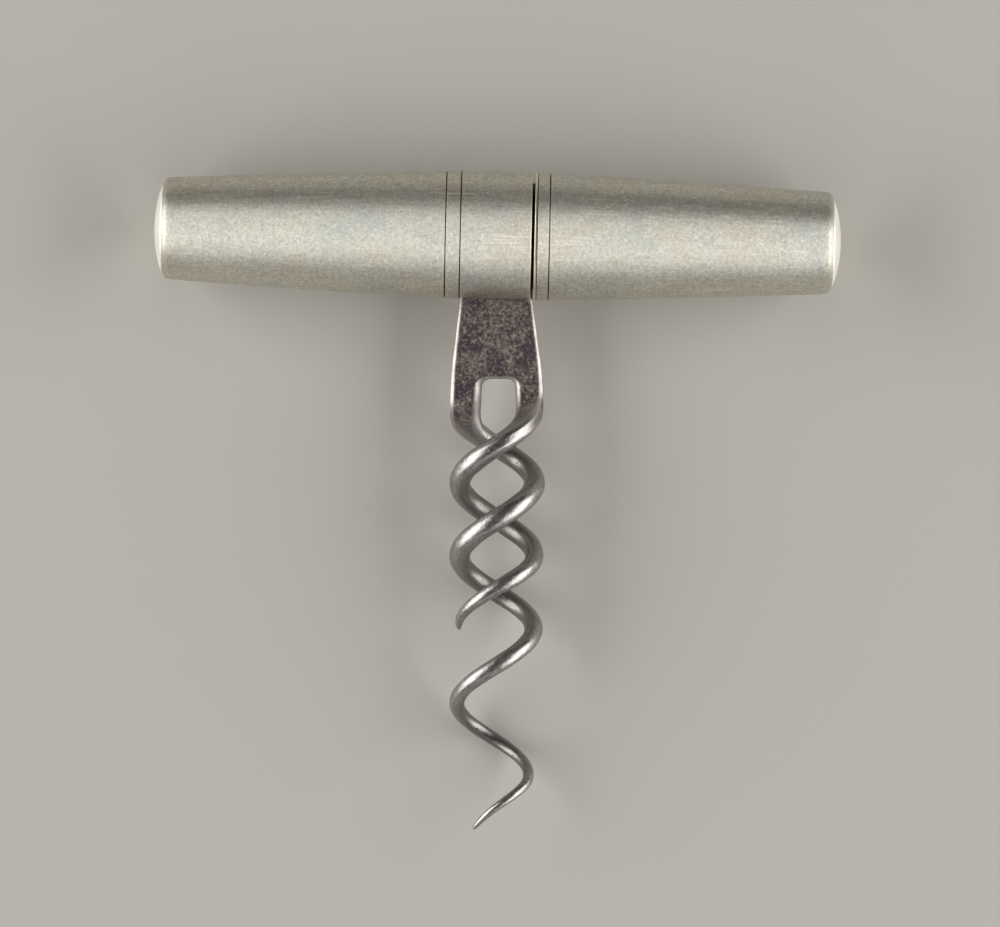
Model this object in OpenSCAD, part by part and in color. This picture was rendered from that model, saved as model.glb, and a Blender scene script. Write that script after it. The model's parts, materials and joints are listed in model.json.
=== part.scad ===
// Folding pocket corkscrew with a double helix worm, lying on its side as it does on a table.
// The case runs along X, the worm points along -Y, and the table is the plane z = 0.
// The tapered case is in two halves. The right half unscrews, and the worm then swings round
// on its cross pin until it lies along the case.

/* [Worm] */
// Outer diameter of the double helix
worm_d = 12; // [10:0.5:14]
// Diameter of each strand's wire
wire_d = 2.65; // [2:0.05:3.2]
// Axial length of one full turn
worm_pitch = 18.3; // [15:0.1:22]
// Distance from the top of the fork to the point of the long strand
long_l = 56.1; // [50:0.5:58]
// Distance from the top of the fork to the point of the short strand
short_l = 31.2; // [28:0.5:36]
// Length over which the long strand thins to its point
long_taper_l = 36; // [20:0.5:44]
// Length over which the short strand thins to its point
short_taper_l = 12; // [4:0.5:16]
// Diameter of each strand at its point
point_d = 0.4; // [0.3:0.05:0.8]
// Distance of the long strand's point from the worm's axis
point_offset = 2.9; // [1:0.1:4]
// How far the hand-wound worm has strayed to the left at its point
stray = 1.45; // [0:0.05:2]
// How far the short strand's last half turn runs ahead of an even winding
short_lead = 0.6; // [0:0.1:1]
// Length over which the prongs pick up the full twist
twist_in = 5.6; // [4:0.2:8]
// Length over which the flat prongs turn into round wire
round_in = 11; // [6:0.5:14]

/* [Shank plate] */
// Thickness of the plate
plate_t = 2.3; // [1.8:0.1:2.8]
// Width of the plate where it leaves the case
plate_neck_w = 9.1; // [8:0.1:9.6]
// Width of the plate across its fork
fork_w = 11.6; // [11:0.1:11.8]
// Distance from the case to the top of the fork
plate_l = 9.9; // [8:0.1:14]
// Clear width of the fork's opening
fork_gap = 4.2; // [3.6:0.1:5]
// How far the fork's opening lies to the right of the plate's middle
fork_offset = 0.25; // [0:0.05:0.4]
// Radius of the upper corners of the fork's opening
fork_corner_r = 1.1; // [0.6:0.1:1.6]
// Leg of the bevel along the plate's outer edges
plate_bevel = 0.4; // [0.2:0.05:0.6]
// Angle between the worm and the case's square
lean = 1.65; // [0:0.05:2]

/* [Case] */
// Diameter of the case at each end rim
end_d = 12.75; // [11:0.25:14]
// Distance from the mouth of a half to its end rim
half_l = 36.8; // [34:0.2:44]
// How far a tube's side swells out from a straight taper
swell = 0.1; // [0:0.05:0.3]
// Wall of the drawn tubes
tube_wall = 0.5; // [0.4:0.05:0.8]
// Height of each domed end
dome_h = 1.5; // [0.8:0.1:2.5]
// Wall of the end caps
cap_wall = 0.6; // [0.4:0.05:1]
// Depth to which a cap's skirt goes into its tube
cap_skirt_l = 2.5; // [1.5:0.1:5]
// Width of the engraved line near each mouth
line_w = 0.3; // [0.2:0.05:0.5]
// Depth of the engraved line
line_depth = 0.15; // [0.1:0.05:0.25]
// Distance from a mouth to its engraved line
line_inset = 1.85; // [1:0.05:4]
// Leg of the bevel at the edges of the collar and of each mouth
edge_bevel = 0.08; // [0.04:0.02:0.15]

/* [Sleeve and thread] */
// Wall of the sleeve under its thread and under the collar
sleeve_wall = 0.57; // [0.5:0.01:0.8]
// Length of the sleeve inside the left half
left_spigot_l = 5; // [4:0.2:8]
// Length of the threaded end inside the right half
right_spigot_l = 4; // [3:0.2:6]
// Axial advance of the thread in one turn
thread_pitch = 1; // [0.8:0.05:1.25]
// Depth of the thread
thread_depth = 0.3; // [0.2:0.02:0.35]
// Wall of the bush outside its thread
bush_wall = 0.3; // [0.25:0.05:0.5]
// Thickness of the bush's flange at the mouth of the right half
flange_t = 0.3; // [0.2:0.05:0.5]
// Open joint between the collar and the right half
mouth_gap = 0.4; // [0.2:0.05:0.6]

/* [Cross pin] */
// Diameter of the pin
pin_d = 3; // [2.4:0.1:3.6]
// How far each end of the pin reaches behind the lip that holds it in the sleeve
pin_hold = 0.2; // [0.15:0.05:0.4]

/* [Clearances] */
// Between soldered pieces
solder_gap = 0.03; // [0.02:0.01:0.05]
// Between the two threads, measured along the radius
thread_play = 0.07; // [0.05:0.01:0.1]
// Between the worm and the lip that it passes through
pass_gap = 0.1; // [0.1:0.05:0.3]
// Between the pin and the sleeve
pin_gap = 0.15; // [0.1:0.05:0.3]
// Between the pin and its hole in the plate
pin_fit = 0.02; // [0.01:0.01:0.04]
// Between each edge of the plate and the half beside it
plate_gap = 0.08; // [0.05:0.01:0.2]
// Between each face of the plate and its slot
slot_gap = 0.15; // [0.1:0.05:0.3]
// Between a cap's skirt and the far side of its seat
seat_gap = 0.1; // [0.05:0.05:0.2]

/* [Hidden] */
$fn = 96;
nickel = "#a6a795";
polished_nickel = "#d8d8cf";
steel = "#6e6a68";

// A cut runs past the face that it starts from by this much
over = 0.5;

// The case is sized from the worm outwards: worm, lip, sleeve, thread, bush, tube
lip_r = worm_d / 2 + pass_gap;
thread_root_r = lip_r + sleeve_wall;
thread_crest_r = thread_root_r + thread_depth;
bush_bore_r = thread_crest_r + thread_play;
bush_ridge_r = thread_root_r + thread_play;
bush_r = bush_bore_r + bush_wall;
end_r = end_d / 2;
bush_l = right_spigot_l + flange_t;
seat_share = bush_l / half_l;
seat_swell = 4 * swell * seat_share * (1 - seat_share);
case_r = (bush_r + solder_gap + tube_wall - end_r * seat_share - seat_swell) / (1 - seat_share);

// Outer radius of a half at a distance from its mouth
function half_r(s) = let (t = s / half_l) case_r + (end_r - case_r) * t + 4 * swell * t * (1 - t);

// The plate comes out between the two mouths
mouth_x = plate_neck_w / 2 + plate_gap;
pin_x = -case_r * sin(lean);
pin_l = 2 * (lip_r + pin_hold);
sleeve_bore_r = pin_l / 2 + pin_gap;
sleeve_r = sleeve_bore_r + sleeve_wall;
lip_x = pin_x + pin_d / 2 + pin_gap;
slot_w = plate_t + 2 * slot_gap;
slot_x = -mouth_x - slot_gap;
rim_x = mouth_x + half_l;
cap_x = rim_x + solder_gap;
tube_steps = 8;
dome_steps = 10;

// Distances from the pin along the worm
fork_d = case_r + plate_l;
prong_d = fork_d + fork_corner_r;
long_d = fork_d + long_l;
short_d = fork_d + short_l;

// A strand leaves the flat end of its prong this much inside the prong's edges
prong_step = 0.05;
// A strand starts this deep inside its prong
strand_root = 0.8;

// Rings along a strand: each has so many sides, and a turn has so many rings
sides = 14;
rings_per_turn = 28;
ring_step = worm_pitch / rings_per_turn;

function smooth(t) = let (u = min(max(t, 0), 1)) u * u * (3 - 2 * u);
function blend(a, b, t) = a + (b - a) * t;
function unit(v) = v / norm(v);

// Angle of the winding at distance d: the prongs start straight and pick up the full twist.
// Only the short strand, which doesn't turn in at its point, runs ahead there.
function winding(d, end_d, turn_in) =
    let (s = max(d - prong_d, 0), lead = short_lead * smooth((d - end_d) / (worm_pitch / 4) + 2))
    360 / worm_pitch * ((s < twist_in ? s * s / (2 * twist_in) : s - twist_in / 2) + (1 - turn_in) * lead);

// Share of the change from flat prong to round wire at distance d
function rounding(d) = smooth((d - prong_d) / round_in);

// A prong's width, and the distance of its middle from the worm's axis. Side is 1 on the right and -1 on the left.
function prong_w(side) = (fork_w - fork_gap) / 2 - side * fork_offset;
function prong_offset(side) = (fork_w + fork_gap) / 4 + side * fork_offset / 2;

// Distance of a strand's middle from the worm's axis. Only the long strand turns in at its point.
function coil_r(d, side, end_d, turn_in) =
    blend(blend(prong_offset(side), (worm_d - wire_d) / 2, rounding(d)), point_offset,
          turn_in * smooth((d - end_d) / (worm_pitch / 3) + 1));

// Sideways stray of the worm's axis at distance d
function axis_x(d) = -stray * pow(max(d - fork_d, 0) / long_l, 3);

// Middle of a strand in the worm's own frame, where the worm runs along -Y from the pin
function strand_at(d, side, end_d, turn_in) =
    let (r = coil_r(d, side, end_d, turn_in) * side, a = winding(d, end_d, turn_in))
    [axis_x(d) + r * cos(a), -d, r * sin(a)];

// Share of the full wire that is left at distance d
function thinning(d, end_d, taper_l) = blend(point_d / wire_d, 1, sqrt(min((end_d - d) / taper_l, 1)));

// One ring of a strand: a flat, round-cornered section on the prong and a circle on the wire
function strand_ring(d, side, end_d, taper_l, turn_in) =
    let (
        step = ring_step / 4,
        tangent = unit(strand_at(d + step, side, end_d, turn_in)
                       - strand_at(d - step, side, end_d, turn_in)),
        a = winding(d, end_d, turn_in),
        out = side * [cos(a), 0, sin(a)],
        across = unit(out - (out * tangent) * tangent),
        upright = cross(tangent, across),
        k = rounding(d),
        w = blend(prong_w(side) - 2 * prong_step, wire_d, k) * thinning(d, end_d, taper_l),
        t = blend(plate_t - 2 * prong_step, wire_d, k) * thinning(d, end_d, taper_l),
        power = blend(0.55, 1, k)
    )
    [for (i = [0 : sides - 1])
        let (b = -360 * i / sides, c = cos(b), s = sin(b))
        strand_at(d, side, end_d, turn_in)
            + across * (w / 2 * sign(c) * pow(abs(c), power))
            + upright * (t / 2 * sign(s) * pow(abs(s), power))];

function strand_rings(side, end_d, taper_l, turn_in) =
    let (root_d = prong_d - strand_root, count = ceil((end_d - root_d) / ring_step))
    [for (i = [0 : count]) strand_ring(blend(root_d, end_d, i / count), side, end_d, taper_l, turn_in)];

short_rings = strand_rings(1, short_d, short_taper_l, 0);
long_rings = strand_rings(-1, long_d, long_taper_l, 1);

// The corkscrew tips about its case until a strand touches the table
function tip_angle(p) = asin(case_r / norm([p.y, p.z])) - atan2(-p.z, -p.y);
worm_points = [for (ring = concat(short_rings, long_rings)) for (p = ring) p];
rest_tilt = min([for (p = worm_points) tip_angle(p)]);
leaning_points = [for (p = worm_points) [p.x * cos(lean) - p.y * sin(lean), p.x * sin(lean) + p.y * cos(lean), p.z]];
worm_reach = max([for (p = leaning_points) -p.y * cos(rest_tilt) + p.z * sin(rest_tilt)]);
case_y = (worm_reach - case_r) / 2;
echo(case_r = case_r, case_y = case_y, rest_tilt = rest_tilt, pin_x = pin_x, worm_reach = worm_reach,
     length = 2 * (cap_x + dome_h));

// Puts a piece, modelled about the case's axis, where it lies on the table
module at_rest() {
    translate([0, case_y, case_r]) rotate([rest_tilt, 0, 0]) children();
}

// Turns a profile of [radius, x] points round the case's axis
module turned(profile) {
    rotate([0, 90, 0]) rotate_extrude() polygon(profile);
}

// Solid through a list of rings of points, closed at both ends
module loft(rings) {
    n = len(rings[0]);
    last = len(rings) - 1;
    points = [for (ring = rings) for (p = ring) p];
    walls = [for (j = [0 : last - 1]) for (i = [0 : n - 1]) let (a = j * n + i, b = j * n + (i + 1) % n)
        each [[a, b, b + n], [a, b + n, a + n]]];
    first_end = [for (i = [1 : n - 2]) [0, i + 1, i]];
    last_end = [for (i = [1 : n - 2]) [last * n, last * n + i, last * n + i + 1]];
    polyhedron(points, concat(walls, first_end, last_end), convexity = 10);
}

// Screw ridge round the case's axis from x0 to x1. Its root is sunk into the wall that carries it.
module thread_ridge(root_r, crest_r, x0, x1, offset_x) {
    segments = 36;
    sink = thread_depth / 3;
    root_w = thread_pitch * 0.6;
    crest_w = thread_pitch * 0.2;
    inward = crest_r < root_r;
    foot_r = root_r + (inward ? sink : -sink);
    foot_w = root_w + (root_w - crest_w) * sink / abs(crest_r - root_r);
    count = floor((x1 - x0) / thread_pitch * segments);
    rings = [for (i = [0 : count])
        let (a = 360 * i / segments, x = x0 + thread_pitch * i / segments,
             turn = 360 * (x0 - offset_x) / thread_pitch + a,
             out = [0, cos(turn), sin(turn)],
             fade = min(1, min(i, count - i) / (segments / 6)),
             tip_r = blend(foot_r, crest_r, blend(0.2, 1, fade)))
        [[x - foot_w / 2, 0, 0] + out * foot_r, [x - crest_w / 2, 0, 0] + out * tip_r,
         [x + crest_w / 2, 0, 0] + out * tip_r, [x + foot_w / 2, 0, 0] + out * foot_r]];
    loft(inward ? [for (ring = rings) [ring[3], ring[2], ring[1], ring[0]]] : rings);
}

// Tube of the right half, as a profile that starts at a distance s0 from the mouth. The bore keeps
// one wall all along, but for the straight seat of its bush or spigot and that of its cap.
module half_tube(s0, bush_seat_l) {
    line_s = [line_inset - line_w / 2, line_inset, line_inset + line_w / 2];
    start = [[half_r(s0) - edge_bevel, s0], [half_r(s0 + edge_bevel), s0 + edge_bevel]];
    engraved = [[half_r(line_s[0]), line_s[0]], [half_r(line_s[1]) - line_depth, line_s[1]],
                [half_r(line_s[2]), line_s[2]]];
    side = [for (i = [1 : tube_steps]) let (s = blend(line_s[2], half_l - edge_bevel, i / tube_steps)) [half_r(s), s]];
    rim = [[end_r - edge_bevel, half_l], [end_r - tube_wall, half_l]];
    bore = [for (i = [tube_steps - 1 : -1 : 0])
        let (s = blend(bush_seat_l, half_l, i / tube_steps)) [half_r(s) - tube_wall, s]];
    mouth = [[half_r(bush_seat_l) - tube_wall, s0]];
    translate([mouth_x, 0, 0]) turned(concat(start, engraved, side, rim, bore, mouth));
}

// Domed cap of the right half: its skirt sits in the tube, and its rim covers the tube's end.
// The dome is fuller than a ball's: its shoulder turns over into the case's side.
module end_cap() {
    skirt_r = end_r - tube_wall - solder_gap;
    inner_r = skirt_r - cap_wall;
    rim_r = end_r - edge_bevel;
    dome = [for (i = [dome_steps : -1 : 0]) let (a = 90 * i / dome_steps)
        [rim_r * sin(a), cap_x + dome_h * pow(cos(a), 1.5)]];
    turned(concat(dome, [[0, cap_x], [inner_r, cap_x], [inner_r, rim_x - cap_skirt_l],
                         [skirt_r, rim_x - cap_skirt_l], [skirt_r, cap_x]]));
}

// Slot that the plate swings through, open to the right
module plate_slot() {
    slot_l = mouth_x + right_spigot_l + over - slot_x;
    translate([slot_x, -case_r - over, -slot_w / 2]) cube([slot_l, case_r + over, slot_w]);
}

// Cuts both edges of the plate's outline from p to q back to a bevel
module edge_cut(p, q) {
    along = q - p;
    depth = 3 * plate_bevel;
    for (face = [-1, 1])
        translate([p.x, p.y, face * plate_t / 2]) rotate([0, 0, atan2(along.y, along.x)]) rotate([45 * face, 0, 0])
            translate([-over, -plate_bevel / sqrt(2), -depth / 2]) cube([norm(along) + 2 * over, depth, depth]);
}

// Right edge of the shank plate, from its head to the flat end of its prong
plate_edge = [[plate_neck_w / 2, 0], [plate_neck_w / 2, -case_r], [fork_w / 2, -fork_d], [fork_w / 2, -prong_d]];

// Outline of the shank plate, with its round head on the pin
module plate_outline() {
    left_edge = [for (i = [len(plate_edge) - 1 : -1 : 0]) [-plate_edge[i].x, plate_edge[i].y]];
    circle(d = plate_neck_w);
    polygon(concat(plate_edge, left_edge));
}

// Opening of the fork, with round upper corners
module fork_opening() {
    half = fork_gap / 2;
    translate([fork_offset, -prong_d]) {
        for (side = [-1, 1]) translate([side * (half - fork_corner_r), 0]) circle(fork_corner_r);
        translate([-half + fork_corner_r, 0]) square([fork_gap - 2 * fork_corner_r, fork_corner_r]);
        translate([-half, -over]) square([fork_gap, over]);
    }
}

module shank_plate() {
    difference() {
        translate([0, 0, -plate_t / 2]) linear_extrude(plate_t) plate_outline();
        translate([0, 0, -plate_t]) linear_extrude(2 * plate_t) fork_opening();
        cylinder(h = 2 * plate_t, d = pin_d + 2 * pin_fit, center = true);
        for (side = [0, 1]) mirror([side, 0, 0]) for (i = [1, 2]) edge_cut(plate_edge[i], plate_edge[i + 1]);
    }
}

module left_case_tube() {
    color(nickel) at_rest() mirror([1, 0, 0]) half_tube(0, left_spigot_l + seat_gap);
}

module left_end_cap() {
    color(polished_nickel) at_rest() mirror([1, 0, 0]) end_cap();
}

// Band between the halves. The plate is as wide as the band, so its slot cuts the band through.
module centre_collar() {
    x0 = -mouth_x;
    x1 = mouth_x - mouth_gap;
    bore_r = sleeve_r + solder_gap;
    color(nickel) at_rest() difference() {
        turned([[bore_r, x0], [case_r - edge_bevel, x0], [case_r, x0 + edge_bevel], [case_r, x1 - edge_bevel],
                [case_r - edge_bevel, x1], [bore_r, x1]]);
        plate_slot();
    }
}

// Inner tube: plain end in the left half, threaded end in the right half, lip that holds the pin
module threaded_sleeve() {
    left_r = half_r(left_spigot_l + seat_gap) - tube_wall - solder_gap;
    x0 = -mouth_x - left_spigot_l;
    x1 = mouth_x - mouth_gap;
    x2 = mouth_x + right_spigot_l;
    color(nickel) at_rest() difference() {
        union() {
            turned([[sleeve_bore_r, x0], [left_r, x0], [left_r, -mouth_x - solder_gap], [sleeve_r, -mouth_x - solder_gap],
                    [sleeve_r, x1], [thread_root_r, x1], [thread_root_r, x2], [lip_r, x2], [lip_r, lip_x],
                    [sleeve_bore_r, lip_x]]);
            thread_ridge(thread_root_r, thread_crest_r, x1 + thread_pitch, x2 - thread_pitch / 2, 0);
        }
        plate_slot();
    }
}

// Threaded ring in the mouth of the right half, with a thin flange that shows at the joint
module right_thread_bush() {
    x0 = mouth_x;
    x1 = mouth_x + bush_l;
    flange_x = mouth_x + flange_t;
    color(nickel) at_rest() union() {
        turned([[bush_bore_r, x0], [case_r - edge_bevel, x0], [case_r, x0 + edge_bevel], [case_r, flange_x - solder_gap],
                [bush_r, flange_x - solder_gap], [bush_r, x1], [bush_bore_r, x1]]);
        thread_ridge(bush_bore_r, bush_ridge_r, x0 + thread_pitch / 2, x1 - thread_pitch / 2, thread_pitch / 2);
    }
}

module right_case_tube() {
    color(nickel) at_rest() half_tube(flange_t, bush_l + seat_gap);
}

module right_end_cap() {
    color(polished_nickel) at_rest() end_cap();
}

// One forging: a plate that forks into two prongs, each drawn out and wound into a strand
module double_helix_worm() {
    color(steel) at_rest() translate([pin_x, 0, 0]) rotate([0, 0, lean]) union() {
        shank_plate();
        loft(short_rings);
        loft(long_rings);
    }
}

// Its ends are rounded to turn inside the sleeve
module cross_pin() {
    color(steel) at_rest() translate([pin_x, 0, 0]) intersection() {
        cylinder(h = pin_l, d = pin_d, center = true);
        sphere(d = pin_l);
    }
}

left_case_tube();
left_end_cap();
centre_collar();
threaded_sleeve();
right_thread_bush();
right_case_tube();
right_end_cap();
double_helix_worm();
cross_pin();
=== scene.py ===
"""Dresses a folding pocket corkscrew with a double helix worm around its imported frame.

The case lies along X and the worm points along -Y, on a table seen from almost straight above.
Sizes are in millimetres, in the case's own frame, until a mesh is put in its place.
"""

import json
import logging
import math
from dataclasses import dataclass, field
from enum import Enum

import bmesh
import bpy
import numpy as np
from mathutils import Euler, Matrix, Vector


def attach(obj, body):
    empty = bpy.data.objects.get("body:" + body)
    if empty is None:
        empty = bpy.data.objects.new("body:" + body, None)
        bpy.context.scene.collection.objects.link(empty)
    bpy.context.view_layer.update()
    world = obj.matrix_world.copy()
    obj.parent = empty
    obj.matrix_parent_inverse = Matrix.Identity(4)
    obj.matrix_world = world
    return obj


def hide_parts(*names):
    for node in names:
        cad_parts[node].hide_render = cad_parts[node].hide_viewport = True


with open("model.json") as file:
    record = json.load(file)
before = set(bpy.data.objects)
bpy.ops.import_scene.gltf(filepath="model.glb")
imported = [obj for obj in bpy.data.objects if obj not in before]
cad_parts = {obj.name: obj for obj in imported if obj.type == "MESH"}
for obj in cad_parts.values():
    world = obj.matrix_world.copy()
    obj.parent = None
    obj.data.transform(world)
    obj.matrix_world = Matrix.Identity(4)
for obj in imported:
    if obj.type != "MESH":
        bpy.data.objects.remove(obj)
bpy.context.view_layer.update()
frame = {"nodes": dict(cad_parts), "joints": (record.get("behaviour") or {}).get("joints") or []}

LOG = logging.getLogger("corkscrew")
MM = 0.001
UP = np.array([0.0, 0.0, 1.0])
UV_NAME = "surface_mm"
WELD_M = 2e-7
# Numbers of a Mix node's colour sockets, whose names it gives to other sockets too.
MIX_A, MIX_B, MIX_OUT = 6, 7, 2


class Slot(Enum):
    """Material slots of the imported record."""

    CASE = "nickel_case"
    CAP = "polished_cap"
    STEEL = "forged_steel"


class Side(Enum):
    """The two halves of the case, by the sign of their X."""

    LEFT = -1
    RIGHT = 1


def linear(code: str) -> tuple[float, float, float, float]:
    """Turns an sRGB hex colour into linear light.

    Args:
        code: six hex digits after a hash.

    Returns:
        Red, green, blue and an alpha of 1.
    """
    srgb = np.array([int(code[i:i + 2], 16) for i in (1, 3, 5)]) / 255
    light = np.where(srgb <= 0.04045, srgb / 12.92, ((srgb + 0.055) / 1.055) ** 2.4)
    return (*light.tolist(), 1.0)


def per_metre(size_mm: float) -> float:
    """Gives the texture scale at which a pattern's features are so many millimetres wide."""
    return 1 / (size_mm * MM)


def plug(node: bpy.types.Node, fill: dict) -> None:
    """Fills a node's inputs.

    Args:
        node: the node.
        fill: for each input, by name or number, a value, a socket, or a node whose result it takes.
    """
    for name, value in fill.items():
        if isinstance(value, bpy.types.Node):
            value = value.outputs[MIX_OUT if value.bl_idname == "ShaderNodeMix" else 0]
        if isinstance(value, bpy.types.NodeSocket):
            node.id_data.links.new(value, node.inputs[name])
        else:
            node.inputs[name].default_value = value


def put(tree: bpy.types.NodeTree, kind: str, fill: dict | None = None, **settings: object) -> bpy.types.Node:
    """Adds a node, sets its properties and fills its inputs.

    Args:
        tree: the node tree.
        kind: the node's type name, without the words that all shader nodes start with.
        fill: what its inputs take, as for plug.
        settings: the node's own properties.

    Returns:
        The new node.
    """
    node = tree.nodes.new("ShaderNode" + kind)
    for name, value in settings.items():
        setattr(node, name, value)
    plug(node, fill or {})
    return node


def smooth(t: np.ndarray) -> np.ndarray:
    """Rises from 0 to 1 with level ends: 3 t squared less 2 t cubed."""
    u = np.clip(t, 0, 1)
    return u * u * (3 - 2 * u)


def blend(a: np.ndarray, b: np.ndarray, t: np.ndarray) -> np.ndarray:
    """Goes in a straight line from a to b as t goes from 0 to 1."""
    return a + (b - a) * t


def unit(v: np.ndarray) -> np.ndarray:
    """Gives vectors a length of 1 along their last axis."""
    return v / np.linalg.norm(v, axis=-1, keepdims=True)


def run_along(points: np.ndarray) -> np.ndarray:
    """Gives the distance along a line of points to each of them.

    Args:
        points: the line's points on the last axis but one. There may be many lines.

    Returns:
        Distances, which start at 0.
    """
    steps = np.linalg.norm(np.diff(points, axis=-2), axis=-1)
    return np.concatenate([0 * steps[..., :1], np.cumsum(steps, axis=-1)], axis=-1)


def fillet(before: tuple, corner: tuple, after: tuple, reach: float, steps: int = 6) -> np.ndarray:
    """Rounds a profile's corner with a parabola that touches both sides at the same reach.

    Args:
        before: the profile's point before the corner.
        corner: the corner.
        after: the profile's point after the corner.
        reach: distance from the corner to each end of the curve.
        steps: number of points.

    Returns:
        Points of the curve, one a row.
    """
    c = np.array(corner, float)
    a = c + reach * unit(np.array(before, float) - c)
    b = c + reach * unit(np.array(after, float) - c)
    t = np.linspace(0, 1, steps)[:, None]
    return (1 - t) ** 2 * a + 2 * t * (1 - t) * c + t ** 2 * b


def grid_faces(rows: int, columns: int, first: int = 0) -> np.ndarray:
    """Numbers the four corners of each face of a grid whose points are counted row by row.

    Args:
        rows: number of rows of points.
        columns: number of points in a row.
        first: number of the grid's first point.

    Returns:
        One face a row.
    """
    i, j = np.meshgrid(np.arange(rows - 1), np.arange(columns - 1), indexing="ij")
    a = first + i * columns + j
    return np.stack([a, a + 1, a + columns + 1, a + columns], -1).reshape(-1, 4)


@dataclass
class Skin:
    """Grids of points, with their place on the surface and their named values, that make one mesh."""

    points: list[np.ndarray] = field(default_factory=list)
    places: list[np.ndarray] = field(default_factory=list)
    values: dict[str, list[np.ndarray]] = field(default_factory=dict)
    faces: list[list[int]] = field(default_factory=list)
    count: int = 0

    def add_grid(self, points: np.ndarray, places: np.ndarray, **values: np.ndarray) -> int:
        """Adds a grid of points and its faces.

        Args:
            points: rows by columns by 3, in millimetres.
            places: rows by columns by 2, millimetres along and round the surface.
            values: rows by columns, one array for each named value.

        Returns:
            The number of the grid's first point.
        """
        first = self.count
        rows, columns = points.shape[:2]
        self.points.append(points.reshape(-1, 3))
        self.places.append(places.reshape(-1, 2))
        for name, value in values.items():
            self.values.setdefault(name, []).append(np.broadcast_to(value, (rows, columns)).reshape(-1))
        self.faces += grid_faces(rows, columns, first).tolist()
        self.count += rows * columns
        return first

    def make(self, name: str, place: Matrix) -> bpy.types.Object:
        """Makes the mesh, merges the grids along their seams and turns the faces outwards.

        Args:
            name: the piece's name.
            place: matrix, in millimetres, from the piece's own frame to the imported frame.

        Returns:
            The piece, smooth shaded, with its place in its mesh.
        """
        mesh = bpy.data.meshes.new(name)
        turn = np.array(place)
        world = (np.vstack(self.points) @ turn[:3, :3].T + turn[:3, 3]) * MM
        mesh.from_pydata(world.tolist(), [], self.faces)
        corners = np.zeros(len(mesh.loops), np.int32)
        mesh.loops.foreach_get("vertex_index", corners)
        layer = mesh.uv_layers.new(name=UV_NAME)
        layer.data.foreach_set("uv", np.vstack(self.places)[corners].astype(np.float32).ravel())
        for key, value in self.values.items():
            attribute = mesh.attributes.new(key, "FLOAT", "POINT")
            attribute.data.foreach_set("value", np.concatenate(value).astype(np.float32))
        work = bmesh.new()
        work.from_mesh(mesh)
        bmesh.ops.remove_doubles(work, verts=work.verts, dist=WELD_M)
        bmesh.ops.recalc_face_normals(work, faces=work.faces)
        work.to_mesh(mesh)
        work.free()
        mesh.polygons.foreach_set("use_smooth", np.ones(len(mesh.polygons), bool))
        mesh.update()
        piece = bpy.data.objects.new(name, mesh)
        bpy.context.scene.collection.objects.link(piece)
        return piece


def dress(piece: bpy.types.Object, finish: bpy.types.Material, body: str, slot: Slot, *nodes: str) -> None:
    """Gives a piece its finish, and ties it to the frame.

    Args:
        piece: the piece.
        finish: its material.
        body: the body that it moves with.
        slot: the record's slot for its finish. Not used.
        nodes: the nodes that it stands for.
    """
    piece.data.materials.append(finish)
    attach(piece, body)
    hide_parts(*nodes)
    LOG.info("%s: %d faces", piece.name, len(piece.data.polygons))


def metal(name: str) -> tuple[bpy.types.Material, bpy.types.NodeTree, bpy.types.Node]:
    """Starts a plain metal.

    Args:
        name: the material's name.

    Returns:
        The material, its node tree and its shader.
    """
    made = bpy.data.materials.new(name)
    made.use_nodes = True
    shader = made.node_tree.nodes["Principled BSDF"]
    shader.inputs["Metallic"].default_value = 1.0
    return made, made.node_tree, shader


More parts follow.
